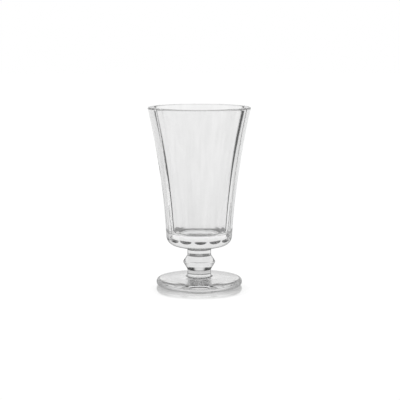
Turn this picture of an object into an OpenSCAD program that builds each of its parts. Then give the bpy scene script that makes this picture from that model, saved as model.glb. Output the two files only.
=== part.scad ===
// Stemmed wine goblet in clear pressed glass, put together hot from five pieces:
// a thick panelled bowl, a collar, a knop, a second collar and a round foot.
// Millimetres, +Z up. The origin is the middle of the foot's underside, on the table.
// Every piece is round about the Z axis except the bowl, which has a panel facing the front, -Y.

/* [Overall] */
// Height from the table to the rim
total_height = 140; // [120:1:170]

/* [Bowl] */
// Diameter of the round bowl at the rim
rim_diameter = 80.5; // [70:0.5:92]
// Diameter of the round bowl at the level of its underside
base_diameter = 51; // [46:0.5:60]
// How far the side dips in from a straight line at half its height
side_dip = 2.4; // [0:0.1:4]
// Number of flat panels pressed round the outside, always even
panel_count = 14; // [8:2:16]
// Depth of a panel at its foot, level with the underside
panel_depth = 0.7; // [0.3:0.05:0.8]
// Height above the underside at which the panels have run out
panel_height = 55; // [30:1:100]
// Wall thickness of the round bowl
wall = 6; // [3.5:0.1:8]
// Glass between the inside floor and the upper collar
floor_thickness = 12.4; // [7:0.2:16]
// Radius in the corner of the inside floor
floor_round = 3; // [2:0.5:10]
// Radius round the outside of the base
base_round = 8; // [3:0.5:9]
// Rise of the underside from the upper collar out to the rounded base
underside_rise = 4; // [0.5:0.1:5]
// Rounding on the inner and the outer edge of the rim
rim_round = 1.2; // [0.4:0.1:2]

/* [Collars] */
// Diameter of both collars at their waist
collar_diameter = 18.6; // [14:0.2:22]
// Radius of the spread where a collar meets the bowl or the foot
collar_spread = 1.4; // [0.6:0.2:4]
// Height of the collar between the knop and the bowl
upper_collar_height = 5.3; // [4.2:0.1:14]
// Height of the collar between the foot and the knop
lower_collar_height = 5.8; // [4.2:0.1:14]

/* [Knop] */
// Diameter at the widest edge
knop_diameter = 25.6; // [23:0.2:34]
// Height from the widest edge up to the upper collar
knop_top_height = 5.4; // [3:0.1:12]
// Height from the lower collar up to the widest edge
knop_bottom_height = 5.9; // [3:0.1:12]
// Rounding of the widest edge
knop_round = 1.6; // [0.4:0.1:2.4]

/* [Foot] */
// Diameter of the foot
foot_diameter = 67.2; // [56:0.2:80]
// Thickness of the foot at its edge
foot_edge = 5.4; // [5.2:0.1:6.4]
// Rounding on the top and the bottom of that edge
foot_round = 2.6; // [0.6:0.1:2.6]
// Height of the foot at the middle, where the lower collar stands
foot_middle = 6.8; // [6.4:0.1:10]
// Depth of the shallow hollow under the foot
foot_hollow = 0.8; // [0.2:0.1:2]
// Width of the flat ring that the foot stands on
stand_ring = 8; // [4:0.5:14]

/* [Hidden] */
collar_r = collar_diameter / 2;
seat_r = collar_r + collar_spread;
knop_r = knop_diameter / 2;
foot_r = foot_diameter / 2;
knop_low = foot_middle + lower_collar_height;
knop_high = knop_low + knop_bottom_height + knop_top_height;
bowl_low = knop_high + upper_collar_height;
side_low = bowl_low + underside_rise;
floor_z = bowl_low + floor_thickness;
side_steps = 14;
arc_steps = 8;
panel_angle = 360 / panel_count;
// A cutter reaches this far past the surface it passes through
past = 1;

// How far up the side height z is, from 0 at the underside to 1 at the rim
function share_up(z) = (z - side_low) / (total_height - side_low);

// Radius of the round bowl at height z: a straight line less a dip
function blank_r(z) =
    let (t = share_up(z))
    base_diameter / 2 + (rim_diameter - base_diameter) / 2 * t - 4 * side_dip * t * (1 - t);

// Distance from the axis to a panel at height z: it leaves the round bowl where it has run out
function panel_r(z) = blank_r(z) - panel_depth * (1 - (z - side_low) / panel_height);

// Radius of the round inside
function inside_r(z) = blank_r(z) - wall;

// Heights from a to b in even steps
function heights(a, b) = [for (i = [0 : side_steps]) a + (b - a) * i / side_steps];

// The corner b between a and c as an arc of radius r
function corner(a, b, c, r) =
    let (u = (a - b) / norm(a - b), w = (c - b) / norm(c - b))
    let (half = acos(u * w) / 2, middle = b + (u + w) / norm(u + w) * r / sin(half))
    let (p = b + u * r / tan(half) - middle, q = b + w * r / tan(half) - middle)
    let (start = atan2(p.y, p.x), turn = atan2(p.x * q.y - p.y * q.x, p * q))
    [for (i = [0 : arc_steps])
        let (g = start + turn * i / arc_steps)
        middle + r * [cos(g), sin(g)]];

// Half section of the round blank that the panels are pressed into
function blank_outline() =
    let (low = side_low + 1.5 * base_round, high = total_height - 2 * rim_round)
    let (base = [blank_r(side_low), side_low], rim = [blank_r(total_height), total_height])
    concat(
        [[0, bowl_low], [seat_r, bowl_low]],
        corner([seat_r, bowl_low], base, [blank_r(low), low], base_round),
        [for (z = heights(low, high)) [blank_r(z), z]],
        corner([blank_r(high), high], rim, [0, total_height], rim_round),
        [[0, total_height]]
    );

// One side of the section across two facing panels
function panel_outline() =
    concat(
        [[panel_r(side_low), bowl_low - past]],
        [for (z = heights(side_low, total_height)) [panel_r(z), z]],
        [[panel_r(total_height), total_height + past]]
    );

// That outline followed by its mirror image, taken the other way round
function both_sides(half) =
    concat(half, [for (i = [len(half) - 1 : -1 : 0]) [-half[i].x, half[i].y]]);

// Half section of the hollow inside, its mouth opened by the rim's rounding
function hollow_outline() =
    let (low = floor_z + 1.5 * floor_round, high = total_height - 2 * rim_round)
    let (lip = [inside_r(total_height), total_height], out = lip + [2 * rim_round, 0])
    let (mouth = corner([inside_r(high), high], lip, out, rim_round))
    concat(
        [[0, floor_z]],
        corner([0, floor_z], [inside_r(floor_z), floor_z], [inside_r(low), low], floor_round),
        [for (z = heights(low, high)) [inside_r(z), z]],
        mouth,
        [[mouth[arc_steps].x, total_height + past], [0, total_height + past]]
    );

// Half section of a collar standing on its waist, spreading at the top
function collar_outline(height) =
    let (middle = [seat_r, height - collar_spread])
    concat(
        [[0, 0], [collar_r, 0]],
        [for (i = [0 : arc_steps])
            let (g = 180 - 90 * i / arc_steps)
            middle + collar_spread * [cos(g), sin(g)]],
        [[0, height]]
    );

// Half section of the knop: two cones that meet in a rounded edge
function knop_outline() =
    let (height = knop_bottom_height + knop_top_height)
    concat(
        [[0, 0]],
        [[collar_r, 0]],
        corner([collar_r, 0], [knop_r, knop_bottom_height], [collar_r, height], knop_round),
        [[collar_r, height], [0, height]]
    );

// Half section of the foot: a shallow hollow, the ring it stands on and a sloping top
function foot_outline() =
    let (hollow_r = foot_r - foot_round - stand_ring)
    let (bottom = [foot_r, 0], top = [foot_r, foot_edge], seat = [seat_r, foot_middle])
    concat(
        [for (i = [0 : arc_steps])
            let (t = i / arc_steps)
            [hollow_r * t, foot_hollow * (1 - t * t)]],
        corner([hollow_r, 0], bottom, top, foot_round),
        corner(bottom, top, seat, foot_round),
        [seat, [0, foot_middle]]
    );

module bowl() {
    color("lightcyan", 0.6)
        difference() {
            intersection() {
                rotate_extrude()
                    polygon(blank_outline());
                intersection_for (i = [0 : panel_count / 2 - 1])
                    rotate([90, 0, 90 + panel_angle * i])
                        linear_extrude(height = 2 * rim_diameter, center = true)
                            polygon(both_sides(panel_outline()));
            }
            rotate_extrude()
                polygon(hollow_outline());
        }
}

module upper_collar() {
    color("paleturquoise", 0.6)
        translate([0, 0, knop_high])
            rotate_extrude()
                polygon(collar_outline(upper_collar_height));
}

module knop() {
    color("lightcyan", 0.6)
        translate([0, 0, knop_low])
            rotate_extrude()
                polygon(knop_outline());
}

module lower_collar() {
    color("paleturquoise", 0.6)
        translate([0, 0, knop_low])
            mirror([0, 0, 1])
                rotate_extrude()
                    polygon(collar_outline(lower_collar_height));
}

module foot() {
    color("lightcyan", 0.6)
        rotate_extrude()
            polygon(foot_outline());
}

bowl();
upper_collar();
knop();
lower_collar();
foot();
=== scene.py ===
import math

import bpy
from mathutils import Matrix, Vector


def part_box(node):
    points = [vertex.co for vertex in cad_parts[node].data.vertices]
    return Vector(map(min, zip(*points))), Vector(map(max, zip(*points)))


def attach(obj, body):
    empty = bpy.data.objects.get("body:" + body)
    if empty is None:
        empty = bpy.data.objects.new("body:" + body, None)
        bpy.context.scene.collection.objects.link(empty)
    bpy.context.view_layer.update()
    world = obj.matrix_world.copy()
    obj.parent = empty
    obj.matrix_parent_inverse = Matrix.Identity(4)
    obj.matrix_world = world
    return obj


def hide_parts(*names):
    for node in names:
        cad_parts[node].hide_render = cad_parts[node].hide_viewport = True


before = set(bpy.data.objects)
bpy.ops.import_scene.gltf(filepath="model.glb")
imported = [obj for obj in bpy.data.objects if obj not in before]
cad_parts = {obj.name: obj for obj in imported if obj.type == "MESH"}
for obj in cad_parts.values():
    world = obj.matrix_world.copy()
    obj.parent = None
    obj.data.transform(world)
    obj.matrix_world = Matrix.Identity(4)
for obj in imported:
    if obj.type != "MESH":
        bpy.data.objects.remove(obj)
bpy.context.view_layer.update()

MM = 0.001

# Foot. A round disc of clear glass, pressed in one piece: a full round edge, a top that rises to the
# stem, a flat ring that stands on the table and a shallow hollow inside that ring. The stem is fused
# to its middle while both are hot.
foot_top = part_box("foot")[1].z
foot_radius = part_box("foot")[1].x
foot_edge = 5.4 * MM
foot_round = 2.6 * MM
foot_hollow = 0.8 * MM
stand_ring = 8 * MM
seat_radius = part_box("lower_collar")[1].x
weld = 0.001 * MM
crease = math.radians(30)


def point(radius, height):
    """A point of a half section, across from the axis and up from the table."""
    return Vector((radius, height))


def straight(a, b, steps=12):
    """Points along the line from a to b, without b itself."""
    return [a.lerp(b, i / steps) for i in range(steps)]


def rounded(a, b, c, radius, steps=16):
    """The corner b between a and c as the points of an arc."""
    u = (a - b).normalized()
    w = (c - b).normalized()
    half = u.angle(w) / 2
    middle = b + (u + w).normalized() * (radius / math.sin(half))
    start = b + u * (radius / math.tan(half)) - middle
    end = b + w * (radius / math.tan(half)) - middle
    return [middle + start.slerp(end, i / steps) * radius for i in range(steps + 1)]


def turned(name, outline, steps=256):
    """A round piece: a vertex is drawn out along its half section, and a screw with no rise spins that."""
    bpy.ops.object.select_all(action="DESELECT")
    bpy.ops.mesh.primitive_plane_add(size=MM, location=(outline[0].x, 0, outline[0].y))
    bpy.ops.object.transform_apply(location=True)
    piece = bpy.context.object
    piece.name = name
    piece.data.name = name
    bpy.ops.object.mode_set(mode="EDIT")
    bpy.ops.mesh.select_all(action="SELECT")
    bpy.ops.mesh.merge(type="CENTER")
    for here, there in zip(outline, outline[1:]):
        move = (there.x - here.x, 0, there.y - here.y)
        bpy.ops.mesh.extrude_vertices_move(TRANSFORM_OT_translate={"value": move})
    bpy.ops.object.mode_set(mode="OBJECT")
    spin = piece.modifiers.new("spin", "SCREW")
    spin.steps = spin.render_steps = steps
    spin.use_merge_vertices = True
    spin.merge_threshold = weld
    bpy.ops.object.modifier_apply(modifier=spin.name)
    bpy.ops.object.mode_set(mode="EDIT")
    bpy.ops.mesh.select_all(action="SELECT")
    bpy.ops.mesh.remove_doubles(threshold=weld)
    bpy.ops.mesh.normals_make_consistent(inside=False)
    bpy.ops.object.mode_set(mode="OBJECT")
    bpy.ops.object.shade_smooth_by_angle(angle=crease)
    return piece


class Shade:
    """An output of a shader node: sums on it add Math nodes, and node() adds any other node."""

    def __init__(self, tree, output=None):
        self.tree = tree
        self.output = output

    def node(self, kind, settings, sockets, output=0):
        """Adds a node: first its settings, then the values or links of its sockets."""
        made = self.tree.nodes.new(kind)
        for name, setting in settings.items():
            setattr(made, name, setting)
        for name, value in sockets.items():
            if isinstance(value, Shade):
                self.tree.links.new(value.output, made.inputs[name])
            else:
                made.inputs[name].default_value = value
        return Shade(self.tree, made.outputs[output] if made.outputs else None)

    def sum(self, operation, first, second):
        return self.node("ShaderNodeMath", {"operation": operation}, {0: first, 1: second})

    def __add__(self, other):
        return self.sum("ADD", self, other)

    def __sub__(self, other):
        return self.sum("SUBTRACT", self, other)

    def __rsub__(self, other):
        return self.sum("SUBTRACT", other, self)

    def __mul__(self, other):
        return self.sum("MULTIPLY", self, other)

    def __truediv__(self, other):
        return self.sum("DIVIDE", self, other)

    __radd__ = __add__
    __rmul__ = __mul__

    def step(self, low, high):
        """0 below low and 1 above high, with a smooth rise between them."""
        return self.node(
            "ShaderNodeMapRange",
            {"interpolation_type": "SMOOTHSTEP"},
            {"Value": self, "From Min": low, "From Max": high},
        )

    def between(self, low, high):
        """low where this is 0 and high where it is 1."""
        return low + (high - low) * self

    def axis(self, name):
        """One coordinate of a place or direction."""
        return self.node("ShaderNodeSeparateXYZ", {}, {"Vector": self}, output=name)

    def length(self):
        return self.node("ShaderNodeVectorMath", {"operation": "LENGTH"}, {0: self}, output="Value")

    def grey(self):
        """A tone as a colour."""
        return self.node("ShaderNodeCombineColor", {}, {"Red": self, "Green": self, "Blue": self})


def new_material(name):
    """An empty node material, and the start of its tree."""
    material = bpy.data.materials.new(name)
    material.use_nodes = True
    material.node_tree.nodes.clear()
    return material, Shade(material.node_tree)


glass_ior = 1.52
glass_tone = 0.912
streak_strength = 0.2
wave_scale = 170.0
wave_stretch = 0.025
wave_detail = 2.0
wave_middle = 0.5
wave_height = 0.003 * MM
metre = 1.0
seam_turn = math.radians(93)
seam_gap = math.radians(120)
seam_width = 0.028


def glass_material(name, edge=None, line=None, inner_line=None, seam=0):
    """Clear fire-polished glass with the faint upright waves and streaks that a mould leaves in it.

    A slant is 0 where a ray meets the glass square on and 1 where it skims it. edge gives a tone, and
    the slants between which the glass falls to it: painted shade that darkens the glass seen slantwise.
    line gives the share of the surface that is mixed with black for rays from outside, and the slants
    between which that sets in: painted shade for dark edges, and where it holds at every slant, a dark
    joint line. inner_line gives the share mixed with black for rays inside the glass, painted shade in
    a band of slants, and the two slants where that sets in and the two where it ends. seam is the
    height of the mould's three seams.
    """
    material, start = new_material(name)
    place = start.node("ShaderNodeTexCoord", {}, {}, output="Object")
    drawn = start.node("ShaderNodeMapping", {}, {"Vector": place, "Scale": (1, 1, wave_stretch)})
    noise = {"Vector": drawn, "Scale": wave_scale, "Detail": wave_detail}
    wave = start.node("ShaderNodeTexNoise", {}, noise)
    relief = wave_height * wave
    if seam:
        turn = start.sum("ARCTAN2", place.axis("Y"), place.axis("X"))
        off_seam = start.sum("PINGPONG", turn - seam_turn, seam_gap / 2)
        relief = relief + seam * (1 - off_seam.step(0, seam_width))
    bump = start.node("ShaderNodeBump", {}, {"Distance": metre, "Height": relief})
    slant = start.node("ShaderNodeLayerWeight", {}, {}, output="Facing")
    tone = glass_tone + streak_strength * (wave - wave_middle)
    # Painted shade: the tone falls where the glass is seen slantwise.
    if edge:
        painted_edge_tone, edge_start, edge_end = edge
        tone = tone - (glass_tone - painted_edge_tone) * slant.step(edge_start, edge_end)
    glass = {
        "Base Color": tone.grey(),
        "Transmission Weight": 1.0,
        "Roughness": 0.0,
        "IOR": glass_ior,
        "Normal": bump,
    }
    surface = start.node("ShaderNodeBsdfPrincipled", {}, glass)
    # Painted shade and the dark joint line: a share of the surface is mixed with black.
    if line:
        line_share, line_start, line_end = line
        within = start.node("ShaderNodeNewGeometry", {}, {}, output="Backfacing")
        dark_joint_and_painted_shade = line_share * slant.step(line_start, line_end) * (1 - within)
        if inner_line:
            painted_inner_share, rise_start, rise_end, fall_start, fall_end = inner_line
            painted_band = slant.step(rise_start, rise_end) * (1 - slant.step(fall_start, fall_end))
            dark_joint_and_painted_shade = dark_joint_and_painted_shade + painted_inner_share * painted_band * within
        black = {"Base Color": (0, 0, 0, 1), "Specular IOR Level": 0.0}
        dark = start.node("ShaderNodeBsdfPrincipled", {}, black)
        surface = start.node("ShaderNodeMixShader", {}, {0: dark_joint_and_painted_shade, 1: surface, 2: dark})
    start.node("ShaderNodeOutputMaterial", {}, {"Surface": surface})
    return material


clear_glass = glass_material("clear_glass")
# The foot's round edge is mixed with black where it is seen slantwise: painted shade for a darker edge.
foot_edge_glass = glass_material("foot_edge_glass", line=(0.4, 0.1, 0.6))

# Where two hot pieces are fused no surface is left to see, and a fine dark line runs round the joint.
any_slant = (-0.2, -0.1)
joint_glass = glass_material("joint_glass", line=(0.5, *any_slant))
joint_line = 0.45 * MM
joint_gap = 0.01 * MM
level = 0.999
fused_joint, start = new_material("fused_joint")
no_surface = start.node("ShaderNodeBsdfPrincipled", {}, {"Alpha": 0.0})
start.node("ShaderNodeOutputMaterial", {}, {"Surface": no_surface})


def give_faces(piece, material, chosen):
    """Gives a piece one more material, on the faces that a test chooses."""
    piece.data.materials.append(material)
    slot = len(piece.data.materials) - 1
    for face in piece.data.polygons:
        if chosen(face):
            face.material_index = slot


def fit_glass(piece, node, glass, *joint_heights):
    """Gives a piece its glass, clears its faces at the joints and puts it in the place of its node."""

    def off_joint(face):
        return min(abs(face.center.z - height) for height in joint_heights)

    def by_joint(face):
        return off_joint(face) < joint_line and face.center.xy.length < seat_radius

    def in_joint(face):
        return off_joint(face) < joint_gap and abs(face.normal.z) > level

    piece.data.materials.append(glass)
    give_faces(piece, joint_glass, by_joint)
    give_faces(piece, fused_joint, in_joint)
    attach(piece, "root")
    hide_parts(node)


hollow_radius = foot_radius - foot_round - stand_ring
hollow_steps = 24
foot_hollow_line = [
    point(hollow_radius * i / hollow_steps, foot_hollow * (1 - (i / hollow_steps) ** 2))
    for i in range(hollow_steps)
]
hollow_edge = point(hollow_radius, 0)
low_corner = point(foot_radius, 0)
high_corner = point(foot_radius, foot_edge)
foot_seat = point(seat_radius, foot_top)
edge_below = rounded(hollow_edge, low_corner, high_corner, foot_round)
edge_above = rounded(low_corner, high_corner, foot_seat, foot_round)
foot = turned(
    "foot_glass",
    foot_hollow_line
    + straight(hollow_edge, edge_below[0])
    + edge_below
    + edge_above[:-1]
    + straight(edge_above[-1], foot_seat)
    + straight(foot_seat, point(0, foot_top))
    + [point(0, foot_top)],
)


def on_foot_edge(face):
    """Whether a face is part of the foot's round edge."""
    return face.center.xy.length > foot_radius - foot_round and face.center.z > joint_gap


fit_glass(foot, "foot", clear_glass, foot_top)
give_faces(foot, foot_edge_glass, on_foot_edge)

# Lower collar. A short disc of glass that seats the stem on the foot: straight at its waist and spread
# at the bottom, where the hot glass was pressed against the foot. Fused to both.
knop_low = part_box("knop")[0].z
collar_radius = 9.3 * MM
collar_spread = seat_radius - collar_radius
# The stem's glass is mixed with black where it is seen slantwise: painted shade for dark edges.
stem_glass = glass_material("stem_glass", line=(0.5, 0.5, 0.85))


def collar_outline(waist, seat):
    """Half section of a collar from its waist, at one height, to its spread seat, at the other."""
    way = 1 if seat > waist else -1
    spread_start = point(collar_radius, seat - way * collar_spread)
    bend = rounded(spread_start, point(collar_radius, seat), point(seat_radius, seat), collar_spread)
    return (
        straight(point(0, waist), point(collar_radius, waist))
        + straight(point(collar_radius, waist), bend[0])
        + bend[:-1]
        + straight(bend[-1], point(0, seat))
        + [point(0, seat)]
    )


lower_collar = turned("lower_collar_glass", collar_outline(knop_low, foot_top))
fit_glass(lower_collar, "lower_collar", stem_glass, foot_top, knop_low)

# Knop. The double cone in the middle of the stem, with a rounded edge where the cones meet. Tooled
# from a gather of hot glass and fused to the collars above and below it.
knop_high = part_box("knop")[1].z
knop_radius = 12.8 * MM
knop_round = 1.6 * MM
knop_bottom_height = 5.9 * MM
knop_edge = point(knop_radius, knop_low + knop_bottom_height)
knop_bottom = point(collar_radius, knop_low)
knop_top = point(collar_radius, knop_high)
knop_bend = rounded(knop_bottom, knop_edge, knop_top, knop_round)
knop = turned(
    "knop_glass",
    straight(point(0, knop_low), knop_bottom)
    + straight(knop_bottom, knop_bend[0])
    + knop_bend[:-1]
    + straight(knop_bend[-1], knop_top)
    + straight(knop_top, point(0, knop_high))
    + [point(0, knop_high)],
)
fit_glass(knop, "knop", stem_glass, knop_low, knop_high)

# Upper collar. The same disc of glass as the lower one, turned over: it stands on the knop with its
# waist, and spreads at the top, where it was pressed against the hot bowl. Fused to both.
bowl_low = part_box("bowl")[0].z
upper_collar = turned("upper_collar_glass", collar_outline(knop_high, bowl_low))
fit_glass(upper_collar, "upper_collar", stem_glass, knop_high, bowl_low)

# Bowl. A tall flared cup with a thick wall and a heavy base, pressed in a mould that leaves flat panels
# round its outside: deepest at the base and run out half way up. The rim and the inside are round and
# fire polished, and the underside is fused to the upper collar.
bowl_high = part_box("bowl")[1].z
rim_radius = 40.25 * MM
base_radius = 25.5 * MM
side_dip = 2.4 * MM
underside_rise = 4 * MM
wall = 6 * MM
floor_thickness = 12.4 * MM
base_round = 8 * MM
floor_round = 3 * MM
rim_round = 1.2 * MM
panel_count = 14
panel_depth = 0.7 * MM
panel_height = 55 * MM
ridge_round = 0.12 * MM
side_low = bowl_low + underside_rise
floor_height = bowl_low + floor_thickness


def blank_radius(height):
    """Radius of the round blank, before the panels are pressed: a straight line less a dip."""
    share_up = (height - side_low) / (bowl_high - side_low)
    dip = 4 * side_dip * share_up * (1 - share_up)
    return base_radius + (rim_radius - base_radius) * share_up - dip


def side(low, high, inset, steps=72):
    """Points up the side of the blank, or up its inside when inset by the wall."""
    heights = [low + (high - low) * i / steps for i in range(steps + 1)]
    return [point(blank_radius(height) - inset, height) for height in heights]


rim_reach = 2 * rim_round
base_reach = 1.5 * base_round
floor_reach = 1.5 * floor_round
side_high = bowl_high - rim_reach
outer_low = side_low + base_reach
inner_low = floor_height + floor_reach
outer_side = side(outer_low, side_high, 0)
inner_side = side(inner_low, side_high, wall)
bowl_seat = point(seat_radius, bowl_low)
base_edge = point(blank_radius(side_low), side_low)
base_corner = rounded(bowl_seat, base_edge, outer_side[0], base_round, steps=32)
rim_outside = point(blank_radius(bowl_high), bowl_high)
rim_inside = point(blank_radius(bowl_high) - wall, bowl_high)
rim_out = rounded(outer_side[-1], rim_outside, rim_inside, rim_round)
rim_in = rounded(rim_outside, rim_inside, inner_side[-1], rim_round)
floor_middle = point(0, floor_height)
floor_edge = point(blank_radius(floor_height) - wall, floor_height)
floor_corner = rounded(inner_side[0], floor_edge, floor_middle, floor_round, steps=24)
bowl = turned(
    "bowl_glass",
    straight(point(0, bowl_low), bowl_seat)
    + straight(bowl_seat, base_corner[0])
    + base_corner[:-1]
    + straight(base_corner[-1], outer_side[0], steps=3)
    + outer_side
    + rim_out[:-1]
    + straight(rim_out[-1], rim_in[0])
    + rim_in
    + inner_side[-2::-1]
    + floor_corner[:-1]
    + straight(floor_corner[-1], floor_middle)
    + [floor_middle],
    steps=336,
)


def soft_least(a, b, width):
    """The lesser of two radii, with the corner where they cross rounded over a width."""
    return min(a, b) - width * math.log1p(math.exp(-abs(a - b) / width))


# Each panel is pressed by moving the outside in to the panel's flat, with the ridges left a little round.
panel_angle = 2 * math.pi / panel_count
for vertex in bowl.data.vertices:
    radius = vertex.co.xy.length
    height = max(vertex.co.z, side_low)
    if radius < blank_radius(height) - wall / 2:
        continue
    blank = blank_radius(height)
    if height > side_high:
        blank = min(radius, blank)
    depth = panel_depth * (1 - (height - side_low) / panel_height)
    turn = math.atan2(vertex.co.x, -vertex.co.y)
    off_middle = (turn + panel_angle / 2) % panel_angle - panel_angle / 2
    flat = (blank - depth) / math.cos(off_middle)
    vertex.co.xy *= soft_least(radius, flat, ridge_round) / radius
bowl.data.update()

# Painted shade on the bowl: dark lines where its inside, floor corner, outside and base are seen
# slantwise.
inside_glass = glass_material(
    "inside_glass", line=(0.85, 0.7, 0.9), inner_line=(0.95, 0.234, 0.242, 0.26, 0.278)
)
corner_glass = glass_material("corner_glass", line=(0.7, 0.15, 0.4))
outside_glass = glass_material("outside_glass", edge=(0.55, 0.45, 0.55), seam=0.26 * MM)
base_glass = glass_material("base_glass", line=(0.45, 0.5, 0.85))
level_floor = 0.99
floor_skin = 1 * MM


def outside(face):
    """Whether a face is on the bowl's outside: past the middle of the wall, or under the floor."""
    past_wall = face.center.xy.length > blank_radius(face.center.z) - wall / 2
    return past_wall or face.center.z < floor_height - floor_skin


def inside(face):
    """Whether a face is on the inside's wall or in the corner of its floor."""
    return not outside(face) and face.center.z > floor_height and abs(face.normal.z) < level_floor


fit_glass(bowl, "bowl", clear_glass, bowl_low)
corner_top = floor_corner[0].y
give_faces(bowl, inside_glass, lambda face: inside(face) and face.center.z > corner_top)
give_faces(bowl, corner_glass, lambda face: inside(face) and face.center.z <= corner_top)
give_faces(bowl, outside_glass, lambda face: outside(face) and face.center.z > outer_low)
give_faces(
    bowl,
    base_glass,
    lambda face: outside(face) and face.center.z <= outer_low and face.center.xy.length > seat_radius,
)

# Table. A big sheet of white acrylic, just below the foot's ring and lit evenly from underneath. It is
# polished round the goblet, where it shows a short reflection of the foot at a low angle. Through the
# glass it shows painted shade: its glow is darker under the foot and in front of it, as if the goblet
# kept light off it.
table_size = 8
table_gap = 0.05 * MM
table_white = 1.03
table_roughness = 0.6
bpy.ops.object.select_all(action="DESELECT")
bpy.ops.mesh.primitive_plane_add(size=table_size, location=(0, 0, -table_gap))
table = bpy.context.object
table.name = "table"
white_acrylic, start = new_material("white_acrylic")
place = start.node("ShaderNodeTexCoord", {}, {}, output="Object")
across = place.length()
back = place.axis("Y")

# The tones of painted shade that the table shows to the glass, each with the distances between which it
# gives way.
painted_stem_shade = 0.22
painted_foot_shade = 0.52
painted_front_shade = 0.3
back_tone = 0.9
stem_reach = (10 * MM, 20 * MM)
foot_reach = (30 * MM, 40 * MM)
shade_reach = (60 * MM, 140 * MM)
goblet_reach = (150 * MM, 800 * MM)
front_reach = (-30 * MM, 50 * MM)
past_stem = across.step(*stem_reach)
past_foot = across.step(*foot_reach)
past_shade = across.step(*shade_reach)
past_goblet = across.step(*goblet_reach)
front_to_back = back.step(*front_reach)
painted_under_shade = past_stem.between(painted_stem_shade, painted_foot_shade)
painted_near_shade = past_shade.between(front_to_back.between(painted_front_shade, back_tone), back_tone)
painted_tone_for_glass = past_goblet.between(past_foot.between(painted_under_shade, painted_near_shade), 1)

# The polish mirrors the studio's surround, and the white under it makes up for that. A soft shadow
# of the goblet is painted on the white.
polish_share = 0.85
polish_start = 44 * MM
polish_end = 58 * MM
polish_roughness = 0.12
polish_slants = (0.7, 0.82)
surround_tone = 0.9
slant = start.node("ShaderNodeLayerWeight", {}, {}, output="Facing")
polished = polish_share * (1 - across.step(polish_start, polish_end)) * slant.step(*polish_slants)
even_white = (table_white - surround_tone * polished) / (1 - polished)
shadow_share = 0.36
shadow_start = 26 * MM
shadow_end = 45 * MM
shadow_shift = (0, 14 * MM, 0)
off_shadow = start.node("ShaderNodeVectorMath", {}, {0: place, 1: shadow_shift}).length()
painted_shadow = shadow_share * (1 - off_shadow.step(shadow_start, shadow_end))
# The camera sees the white with its painted shadow, and the glass sees the tones of painted shade.
seen = start.node("ShaderNodeLightPath", {}, {}, output="Is Camera Ray")
glow = seen.between(painted_tone_for_glass, even_white * (1 - painted_shadow)).grey()
lit_sheet = start.node(
    "ShaderNodeBsdfPrincipled",
    {},
    {
        "Base Color": (0, 0, 0, 1),
        "Roughness": table_roughness,
        "Specular IOR Level": 0.0,
        "Emission Color": glow,
        "Emission Strength": 1.0,
    },
)
polish = start.node(
    "ShaderNodeBsdfPrincipled",
    {},
    {"Base Color": (1, 1, 1, 1), "Metallic": 1.0, "Roughness": polish_roughness},
)
acrylic = start.node("ShaderNodeMixShader", {}, {0: polished, 1: lit_sheet, 2: polish})
start.node("ShaderNodeOutputMaterial", {}, {"Surface": acrylic})
table.data.materials.append(white_acrylic)

# Camera. It stands about a metre off, a little above the rim and tilted down, as the photograph was
# taken, and is turned so that a panel faces a little to its right.
camera_turn = math.radians(2.2)
camera_distance = 980 * MM
camera_height = 205 * MM
camera_pitch = math.radians(8.006)
image_width = 400
focal_pixels = 1266
axis_pixel = 199.25
camera_data = bpy.data.cameras.new("camera")
camera = bpy.data.objects.new("camera", camera_data)
scene = bpy.context.scene
scene.collection.objects.link(camera)
camera_data.lens = focal_pixels * camera_data.sensor_width / image_width
camera_data.shift_x = (image_width / 2 - axis_pixel) / image_width
camera.location = (
    -camera_distance * math.sin(camera_turn),
    -camera_distance * math.cos(camera_turn),
    camera_height,
)
camera.rotation_euler = (math.pi / 2 - camera_pitch, 0, -camera_turn)
scene.camera = camera

# Studio light. A pale surround stands all round the table, taller behind the goblet, with a dim room
# over it and a dark ceiling, so that the clear glass has dark edges. The camera itself sees plain white.
room_tone = 0.05
ceiling_tone = 0.02
back_wall = (0.7, 0.85)


def rise(degrees):
    """How far up a direction points that is this many degrees above the table."""
    return math.sin(math.radians(degrees))


surround_top = (rise(14), rise(37))
back_top = (rise(32), rise(50))
room_top = (rise(50), rise(75))
world = bpy.data.worlds.new("studio")
scene.world = world
world.use_nodes = True
world.node_tree.nodes.clear()
start = Shade(world.node_tree)
direction = start.node("ShaderNodeTexCoord", {}, {}, output="Generated")
up = direction.axis("Z")
behind = direction.axis("Y").step(*back_wall)
room = behind.between(up.step(*surround_top), up.step(*back_top))
ceiling = up.step(*room_top)
tone = surround_tone - (surround_tone - room_tone) * room - (room_tone - ceiling_tone) * ceiling
seen = start.node("ShaderNodeLightPath", {}, {}, output="Is Camera Ray")
background = start.node("ShaderNodeBackground", {}, {"Color": seen.between(tone, 1).grey()})
start.node("ShaderNodeOutputWorld", {}, {"Surface": background})
scene.view_settings.view_transform = "Standard"

# Light passes many faces of clear glass on its way, so a path of it may be long.
light_bounces = 32
scene.cycles.max_bounces = light_bounces
scene.cycles.transmission_bounces = light_bounces
scene.cycles.glossy_bounces = light_bounces
scene.cycles.transparent_max_bounces = light_bounces
